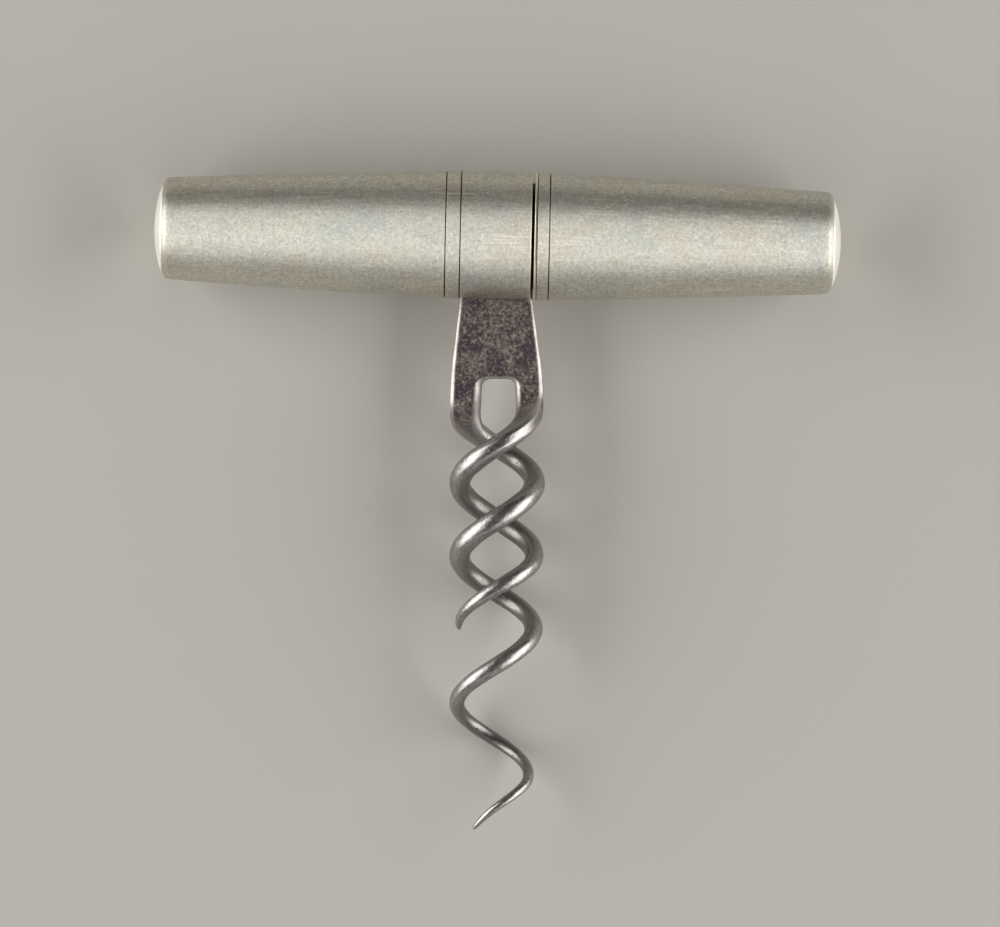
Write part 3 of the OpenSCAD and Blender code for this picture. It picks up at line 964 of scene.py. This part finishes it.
    def plate_rings(self) -> Rings:
        """Makes the sections across the plate, from the pin's hole to the top of the fork."""
        t = np.linspace(0, 1, self.plate_rows)[1:-1]
        inner_d = blend(self.hole_r + self.hole_rim_r, self.fork_d - self.rim_r, t)
        outer_d = blend(self.head_l, self.fork_d - self.fork_in, t)
        inner = np.stack([0 * t, -inner_d, 0 * t], -1)
        return self.flat_rings(inner, np.zeros_like(inner), *self.edge_line(outer_d), 0.0)

    def fork_rings(self, strand: Strand) -> Rings:
        """Makes the sections that fan round the fork: along its flat top, then round its corner.

        Args:
            strand: the strand whose prong it is. Its rim is filed wider than that of the fork's top.

        Returns:
            The sections.
        """
        t = np.linspace(0, 1, self.fan_rows)
        flat = self.inner_x(strand) - self.corner_r
        run = t * (flat + self.corner_r * math.pi / 2)
        a = np.maximum(run - flat, 0) / self.corner_r
        way = np.stack([np.sin(a), np.cos(a), 0 * a], -1)
        hub = np.stack([np.minimum(run, flat), np.full_like(t, -self.prong_d), 0 * t], -1)
        outer_d = blend(self.fork_d - self.fork_in, self.prong_d, t)
        rings = self.flat_rings(hub + self.corner_r * way, way, *self.edge_line(outer_d), self.rim_r)
        rings.inner_rim = blend(self.rim_r, strand.rim, smooth(2 * a / math.pi))
        return rings

    def edge_line(self, d: np.ndarray) -> tuple[np.ndarray, np.ndarray]:
        """Gives points on the plate's right edge, and the direction from each into the plate."""
        step = self.edge_nudge
        slope = (self.edge_x(d + step) - self.edge_x(d - step)) / (2 * step)
        points = np.stack([self.edge_x(d), -d, 0 * d], -1)
        return points, unit(np.stack([-np.ones_like(d), -slope, 0 * d], -1))

    def flat_rings(self, inner: np.ndarray, inner_way: np.ndarray, outer: np.ndarray, outer_way: np.ndarray,
                   rim: float) -> Rings:
        """Makes flat sections of the plate.

        Args:
            inner: the inner end of each section.
            inner_way: the direction from there into the metal.
            outer: the outer end of each section.
            outer_way: the direction from there into the metal.
            rim: how far the inner edge is rounded.

        Returns:
            The sections.
        """
        one = np.ones(len(inner))
        up = np.broadcast_to(UP, inner.shape)
        flare = np.clip((-outer[:, 1] - self.case_r) / self.plate_l, 0, 1)
        return Rings(inner, inner_way, outer, outer_way, up, one * self.plate_t / 2, one * rim,
                     blend(self.neck_bevel_w, self.fork_bevel_w, flare), one * self.bevel_drop, 0 * one)

    def strand_rings(self, strand: Strand) -> tuple[Rings, np.ndarray]:
        """Makes the sections of a strand, square to its line, from flat prong to round wire.

        A bevel that runs on down its prong keeps facing the same way while the prong turns.

        Args:
            strand: the strand.

        Returns:
            The sections and the strand's direction at each.
        """
        count = round((strand.end_d - self.prong_d) / self.step)
        d = np.linspace(self.prong_d, strand.end_d, count + 1)[1:]
        tangent = unit(self.centre(d + self.nudge, strand) - self.centre(d - self.nudge, strand))
        a = self.winding(d, strand)
        out = np.stack([np.cos(a), 0 * a, np.sin(a)], -1)
        across = unit(out - np.sum(out * tangent, -1, keepdims=True) * tangent)
        k = self.rounding(d)
        left = np.sqrt(np.clip((strand.end_d - d) / strand.taper_l, 0, 1))
        uneven = 1 + k * sum(size * np.sin(d * rate + n * strand.turn) for size, rate, n in self.waver)
        thin = blend(self.point_d / self.wire_d, 1, left) * uneven
        half_w = blend((self.fork_w / 2 - self.inner_x(strand)) / 2, self.wire_d / 2, k) * thin
        half_t = blend(self.plate_t / 2, self.wire_d / 2, k) * thin
        middle = self.centre(d, strand)
        late = smooth((d - self.prong_d - strand.bevel_l) / (self.round_in - strand.bevel_l))
        fall = math.atan2(self.bevel_drop, self.fork_bevel_w) - np.where(strand.bevel_l > 0, a, 0)
        drop = self.fork_bevel_w * np.tan(np.maximum(fall, self.least_fall))
        rings = Rings(middle - across * half_w[:, None], across, middle + across * half_w[:, None], -across,
                      np.cross(tangent, across), half_t, blend(strand.rim, half_w, k),
                      blend(self.fork_bevel_w, half_w, late), blend(drop, half_t, late), late)
        return rings, tangent

    def point_rings(self, last: Rings, tangent: np.ndarray) -> Rings:
        """Rounds off a strand's point: the last section shrinks as the cosine of an angle up to 90 degrees.

        Args:
            last: all the strand's sections.
            tangent: the strand's direction at each.

        Returns:
            The sections of the rounded point.
        """
        a = np.linspace(0, math.pi / 2, self.point_rows)[1:]
        size = np.cos(a)
        half_w = np.linalg.norm(last.outer[-1] - last.inner[-1]) / 2
        middle = (last.outer[-1] + last.inner[-1]) / 2 + np.sin(a)[:, None] * half_w * tangent[-1]
        arm = (last.outer[-1] - last.inner[-1]) / 2 * size[:, None]
        one = np.ones_like(a)
        return Rings(middle - arm, np.broadcast_to(last.inner_way[-1], arm.shape), middle + arm,
                     np.broadcast_to(last.outer_way[-1], arm.shape), np.broadcast_to(last.up[-1], arm.shape),
                     last.half_t[-1] * size, half_w * size, half_w * size, last.half_t[-1] * size, one)

    def strip(self, rings: Rings, inside: bool, count: int) -> tuple[np.ndarray, np.ndarray]:
        """Lays points round the sections: over the top, down the side and back underneath.

        A corner is a chamfer on the plate, cos squared against sin squared, and a round arc on the wire.
        Points lie closer together on corners than on flats.

        Args:
            rings: the sections.
            inside: whether the side is the inner wall or the outer edge.
            count: points in a section.

        Returns:
            Points, and the share of bright edge at each.
        """
        b = np.linspace(0, math.pi / 2, self.corner_points)[None, :]
        rim = (rings.inner_rim if inside else rings.outer_rim)[:, None]
        drop = np.minimum(rings.inner_rim, rings.half_t)[:, None] if inside else rings.outer_drop[:, None]
        end = rings.inner if inside else rings.outer
        way = rings.inner_way if inside else rings.outer_way
        power = blend(self.wall_power if inside else self.edge_power, 1.0, rings.round)[:, None]
        inset = rim * (1 - np.sin(b) ** power)
        height = rings.half_t[:, None] - drop * (1 - np.cos(b) ** power)
        level = end[:, None] + way[:, None] * inset[..., None]
        lift = rings.up[:, None] * height[..., None]
        top, low = level + lift, (level - lift)[:, ::-1]
        bright = np.broadcast_to(np.sin(2 * b) * (1 - rings.round[:, None]), top.shape[:2])
        dense, shine = np.concatenate([top, low], 1), np.concatenate([bright, bright[:, ::-1]], 1)
        if not inside:
            start = rings.inner + rings.inner_way * rings.inner_rim[:, None]
            half = rings.up * rings.half_t[:, None]
            dense = np.concatenate([(start + half)[:, None], dense, (start - half)[:, None]], 1)
            shine = np.pad(shine, ((0, 0), (1, 1)))
        length = np.linalg.norm(np.diff(dense, axis=1), axis=-1)
        weight = np.full(length.shape[1], self.corner_weight)
        flats = [len(weight) // 2] + ([] if inside else [0, len(weight) - 1])
        weight[flats] = 1.0
        run = np.pad(np.cumsum(length * weight + 1e-9, axis=1), ((0, 0), (1, 0)))
        goal = run[:, -1:] * np.linspace(0, 1, count)
        cell = np.clip((run[:, None, :] <= goal[:, :, None]).sum(-1) - 1, 0, dense.shape[1] - 2)
        row = np.arange(len(dense))[:, None]
        part = np.clip((goal - run[row, cell]) / (run[row, cell + 1] - run[row, cell]), 0, 1)
        points = blend(dense[row, cell], dense[row, cell + 1], part[..., None])
        return points, blend(shine[row, cell], shine[row, cell + 1], part)

    def add_half(self, skin: Skin, strand: Strand) -> None:
        """Adds one half of the forging: plate, prong and strand.

        Args:
            skin: the forging's skin.
            strand: the half's strand.
        """
        wound, tangent = self.strand_rings(strand)
        stages = [self.head_rings(), self.plate_rings(), self.fork_rings(strand), wound,
                  self.point_rings(wound, tangent)]
        names = list(Rings.__dataclass_fields__)
        joined = Rings(**{n: np.concatenate([getattr(s, n) for s in stages]) for n in names})
        head = len(stages[0].inner)
        fork = head + len(stages[1].inner)
        turn = np.array([strand.turn, 1, strand.turn])
        spine = run_along(joined.outer)
        aged = 1 - smooth((spine - spine[fork] - self.oxide_l) / self.bare_in)
        middle = (joined.inner + joined.outer) / 2
        half_w = np.maximum(np.linalg.norm(joined.outer - joined.inner, axis=-1) / 2, self.point_d / 4)
        shell, shell_edge = self.strip(joined, False, self.shell_points)
        wall, wall_edge = self.strip(joined, True, self.wall_points)
        for points, edge, rows in ((shell, shell_edge, slice(None)), (wall, wall_edge, slice(0, head)),
                                   (wall, wall_edge, slice(fork, None))):
            part = points[rows]
            places = np.stack(np.broadcast_arrays(spine[rows, None], run_along(part)), -1)
            beyond = np.sum((middle[rows, None] - part) * joined.outer_way[rows, None], -1)
            outward = 0.5 + 0.5 * beyond / half_w[rows, None]
            skin.add_grid(part * turn, places, patina=aged[rows, None], edge=edge[rows], outward=outward)

    def build(self) -> None:
        """Makes the forging from its two halves. The long strand leaves the left prong."""
        skin = Skin()
        short = Strand(turn=1, end_d=self.short_d, taper_l=self.short_taper_l, turn_in=0.0,
                       lead=self.short_lead, rim=self.right_rim_r, bevel_l=0.0)
        long = Strand(turn=-1, end_d=self.long_d, taper_l=self.long_taper_l, turn_in=1.0,
                      lead=0.0, rim=self.left_rim_r, bevel_l=self.left_bevel_l)
        self.add_half(skin, short)
        self.add_half(skin, long)
        dress(skin.make("worm_forging", self.place), self.steel, "worm", Slot.STEEL, "double_helix_worm")


@dataclass
class Studio:
    """Pale floor, soft lamps to the left and right and a weak one in front, and the camera above.

    A lamp has a name, a place in metres, a width and height in metres, and a power in watts.
    """

    floor: str = "#bcb8b0"
    floor_r: float = 2.6
    floor_flat: float = 0.55
    floor_lift: float = 1.4
    floor_rows: int = 40
    floor_columns: int = 97
    floor_roughness: float = 0.9
    floor_specular: float = 0.2
    lamps: tuple = (("left_soft_box", (-0.65, 0.0, 0.31), (1.0, 0.6), 7.2),
                    ("right_soft_box", (0.63, -0.06, 0.31), (1.0, 0.6), 6.7),
                    ("front_fill", (0.0, -0.95, 0.45), (1.2, 0.6), 1.2))
    aim: tuple[float, float, float] = (0.95, 4.57, 8.0)
    camera_distance: float = 1000.0
    camera_tilt: float = 3.0
    camera_roll: float = 1.3
    focal_px: float = 8000.0
    photo_w_px: float = 1000.0
    sensor_w: float = 36.0
    clip_start_m: float = 0.01
    sky: float = 0.05

    def lay_floor(self) -> None:
        """Makes a round floor whose rim sweeps up, as a photographer's paper does.

        The height is zero in the middle and grows with the square of the distance past the flat part.
        """
        r = np.linspace(0, self.floor_r, self.floor_rows)[:, None]
        angle = np.linspace(0, 2 * math.pi, self.floor_columns)[None, :]
        rise = self.floor_lift * np.maximum(r - self.floor_flat * self.floor_r, 0) ** 2 / self.floor_r
        points = np.stack(np.broadcast_arrays(r * np.cos(angle), r * np.sin(angle), rise), -1) / MM
        skin = Skin()
        skin.add_grid(points, points[..., :2])
        floor = skin.make("floor", Matrix.Identity(4))
        paper = bpy.data.materials.new("pale_paper")
        paper.use_nodes = True
        shader = paper.node_tree.nodes["Principled BSDF"]
        plug(shader, {"Base Color": linear(self.floor), "Roughness": self.floor_roughness,
                      "Specular IOR Level": self.floor_specular})
        floor.data.materials.append(paper)

    def hang_lamp(self, name: str, at: tuple[float, float, float], size: tuple[float, float],
                  power: float) -> None:
        """Hangs a soft box that faces the object.

        Args:
            name: the lamp's name.
            at: its place, in metres.
            size: its width and height, in metres.
            power: its power in watts.
        """
        data = bpy.data.lights.new(name, "AREA")
        data.shape = "RECTANGLE"
        data.size, data.size_y = size
        data.energy = power
        lamp = bpy.data.objects.new(name, data)
        lamp.location = at
        lamp.rotation_euler = (-Vector(at)).to_track_quat("-Z", "Y").to_euler()
        bpy.context.scene.collection.objects.link(lamp)

    def set_camera(self) -> None:
        """Hangs the camera almost straight above, with the photograph's scale, tilt and roll."""
        data = bpy.data.cameras.new("camera")
        data.sensor_width = self.sensor_w
        data.lens = self.focal_px * self.sensor_w / self.photo_w_px
        data.clip_start = self.clip_start_m
        camera = bpy.data.objects.new("camera", data)
        turn = Euler((math.radians(self.camera_tilt), 0, math.radians(self.camera_roll)))
        back = Vector((0, 0, self.camera_distance))
        back.rotate(turn)
        camera.location = (Vector(self.aim) + back) * MM
        camera.rotation_euler = turn
        bpy.context.scene.collection.objects.link(camera)
        bpy.context.scene.camera = camera

    def build(self) -> None:
        """Makes the floor, the lamps, the sky and the camera."""
        scene = bpy.context.scene
        scene.view_settings.view_transform = "Standard"
        self.lay_floor()
        for lamp in self.lamps:
            self.hang_lamp(*lamp)
        world = bpy.data.worlds.new("studio")
        scene.world = world
        world.use_nodes = True
        plug(world.node_tree.nodes["Background"], {"Strength": self.sky, "Color": linear("#ffffff")})
        self.set_camera()


def rest_places() -> tuple[Matrix, Matrix]:
    """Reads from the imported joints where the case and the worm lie.

    Returns:
        Matrices, in millimetres, from the case's own frame and from the worm's own frame.
    """
    joints = {j["name"]: j for j in frame["joints"]}
    fold, turn = joints["worm_fold"], joints["case_turn"]
    tilt = Matrix.Rotation(math.atan2(-fold["axis"][1], fold["axis"][2]), 4, "X")
    lean = Matrix.Rotation(math.radians(90 - fold["range_deg"][1]), 4, "Z")
    case = Matrix.Translation(Vector(turn["pos_m"]) / MM) @ tilt
    return case, Matrix.Translation(Vector(fold["pos_m"]) / MM) @ tilt @ lean


def main() -> None:
    """Builds the studio and the pieces in order."""
    logging.basicConfig(level=logging.INFO, format="%(name)s: %(message)s")
    Studio().build()
    nickel = WornNickel().material()
    polished = PolishedNickel().material()
    steel = ForgedSteel().material()
    case_place, worm_place = rest_places()
    Case(nickel, polished, case_place).build()
    Worm(steel, worm_place).build()
    thread = ThreadNickel().material()
    for node, finish in (("threaded_sleeve", thread), ("right_thread_bush", thread), ("cross_pin", steel)):
        frame["nodes"][node].data.materials.clear()
        frame["nodes"][node].data.materials.append(finish)
        LOG.info("%s keeps its solid", node)


if __name__ == "__main__":
    main()
